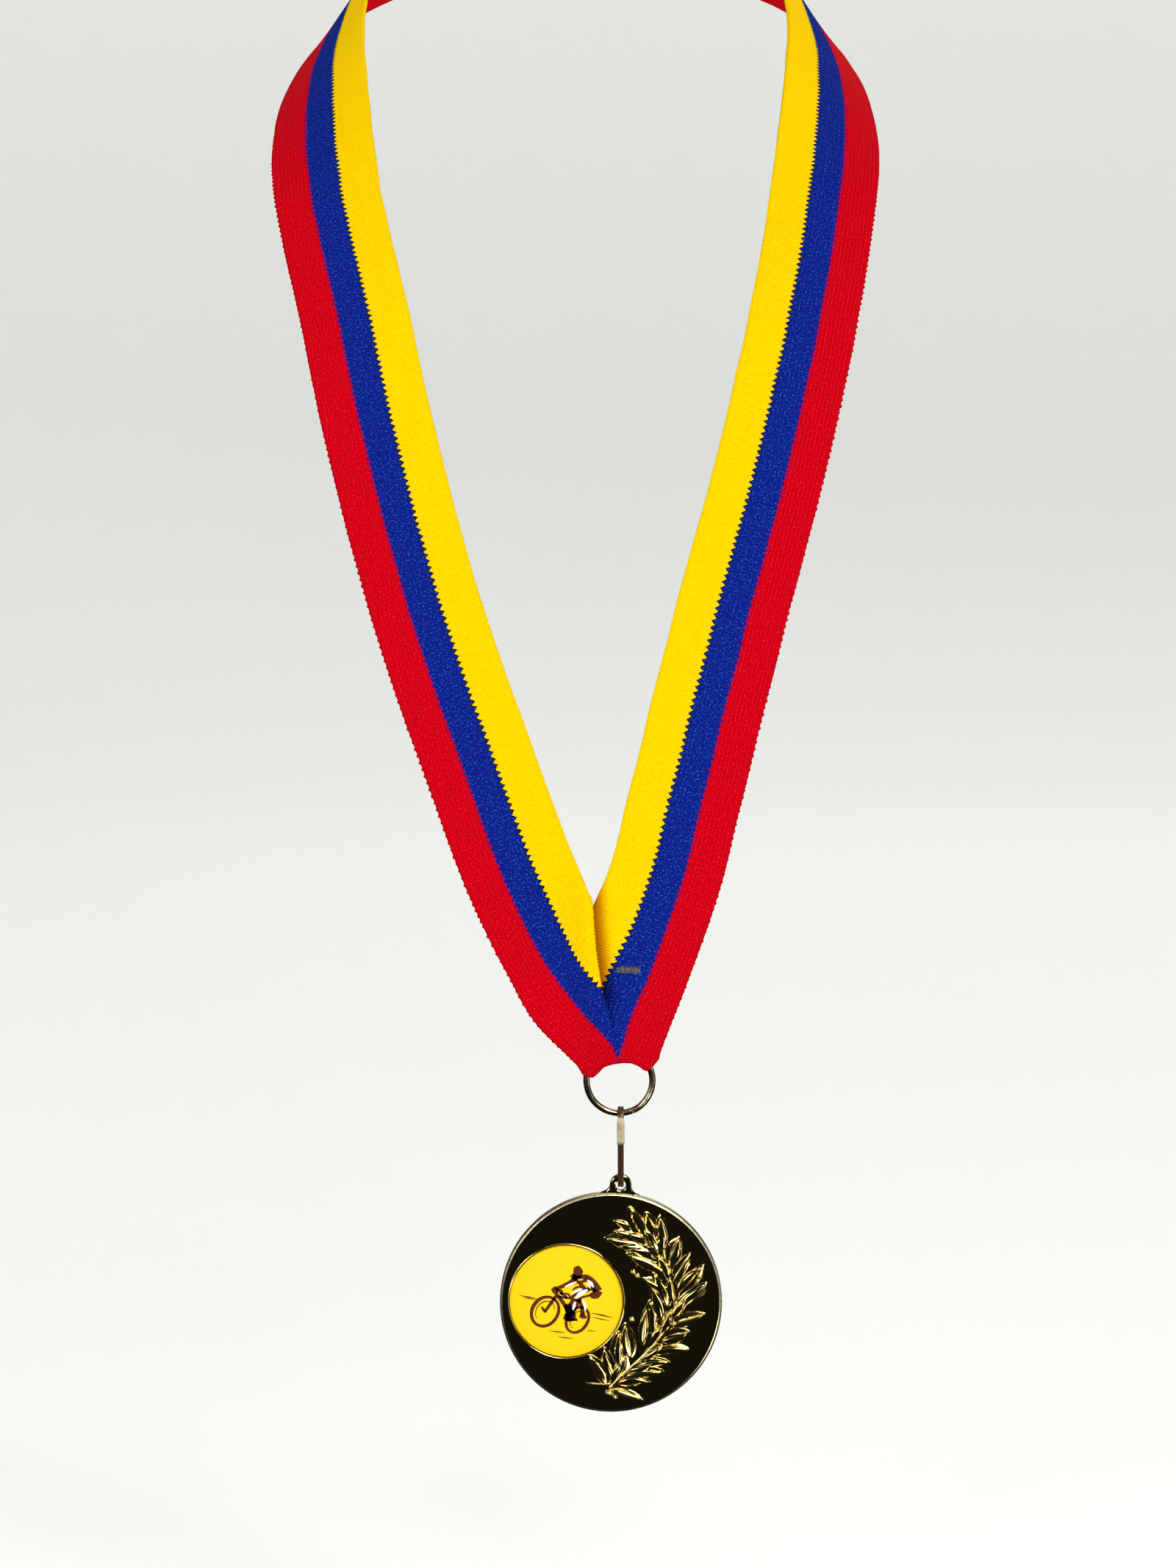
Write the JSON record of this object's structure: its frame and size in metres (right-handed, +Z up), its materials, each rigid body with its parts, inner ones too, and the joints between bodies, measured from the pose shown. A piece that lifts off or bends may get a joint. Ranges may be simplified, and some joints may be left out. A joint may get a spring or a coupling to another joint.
{
  "type": "sports finisher medal",
  "caption": "Round gilt finisher medal with a laurel relief and a printed insert, hung by a clip and ring from a striped neck ribbon.",
  "frame": {"origin": "middle of the neck band's inner face, where the ribbon rests on the nape, a hook or a peg", "axes": "+Z up; the medal's face looks along -Y; +X to the viewer's right"},
  "size_m": [0.1454, 0.1885, 0.3639],
  "materials": {
    "ribbon": "warp-knitted tape in yellow, blue and red stripes",
    "thread": "khaki sewing thread",
    "ring_metal": "polished antique gilt",
    "clip_metal": "polished pale gilt",
    "gilt": "mirror-polished gilt",
    "adhesive": "double-sided foam tape",
    "print": null
  },
  "bodies": {
    "ribbon": {"ribbon_left_strap": "ribbon", "ribbon_right_strap": "ribbon", "ribbon_neck_band": "ribbon", "ribbon_fold": "ribbon", "ribbon_back_tab": "ribbon", "bar_tack_front": "thread", "bar_tack_back": "thread"},
    "ring": {"jump_ring": "ring_metal"},
    "clip": {"strip_clip": "clip_metal"},
    "medal": {"medal_body": "gilt", "adhesive_pad": "adhesive", "printed_insert": "print"}
  },
  "joints": [
    {"name": "ring_swing", "type": "hinge", "parent": "ribbon", "child": "ring", "pos_m": [0.01, -0.18, -0.2715], "axis": [1, 0, 0], "range_deg": [-60, 60], "deforming": ["ribbon_fold"]},
    {"name": "clip_swing", "type": "hinge", "parent": "ring", "child": "clip", "pos_m": [0.0103, -0.18, -0.2844], "axis": [1, 0, 0], "range_deg": [-75, 75]},
    {"name": "medal_swing", "type": "hinge", "parent": "clip", "child": "medal", "pos_m": [0.0103, -0.18, -0.3007], "axis": [0, 1, 0], "range_deg": [-90, 90]}
  ]
}
